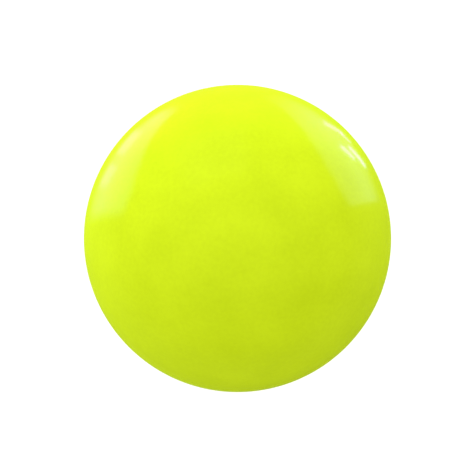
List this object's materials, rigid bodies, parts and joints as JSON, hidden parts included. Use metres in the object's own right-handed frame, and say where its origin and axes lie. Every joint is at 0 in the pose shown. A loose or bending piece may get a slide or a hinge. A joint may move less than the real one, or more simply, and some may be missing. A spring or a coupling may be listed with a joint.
{
  "type": "badminton shuttlecock",
  "caption": "Feather badminton shuttlecock: a rounded cork head under a glossy lime cover, a flared skirt of overlapping goose feathers and rows of lacing; struck on its nose by a racket.",
  "frame": {"origin": "middle of the ring of feather tips, on the surface that the shuttlecock stands on", "axes": "+Z along the shuttlecock's axis from the feather tips to the nose of the head; +X is through the quill of feather_01"},
  "size_m": [0.0644, 0.0644, 0.0843],
  "materials": {
    "lime_coat": "gloss",
    "pressed_cork": "matte",
    "natural_cork": "matte",
    "ribbon_tape": "satin",
    "label_paper": "matte",
    "glue": "satin",
    "thread": "matte",
    "dyed_feather": "satin"
  },
  "bodies": {
    "root": {"head_cover": "lime_coat", "cork_nose": "pressed_cork", "cork_disc": "natural_cork", "ribbon": "ribbon_tape", "face_label": "label_paper", "root_glue": "glue", "lacing_first_row": "thread", "lacing_second_row": "thread", "feather_01": "dyed_feather", "feather_02": "dyed_feather", "feather_03": "dyed_feather", "feather_04": "dyed_feather", "feather_05": "dyed_feather", "feather_06": "dyed_feather", "feather_07": "dyed_feather", "feather_08": "dyed_feather", "feather_09": "dyed_feather", "feather_10": "dyed_feather", "feather_11": "dyed_feather", "feather_12": "dyed_feather", "feather_13": "dyed_feather", "feather_14": "dyed_feather", "feather_15": "dyed_feather", "feather_16": "dyed_feather"}
  },
  "joints": []
}
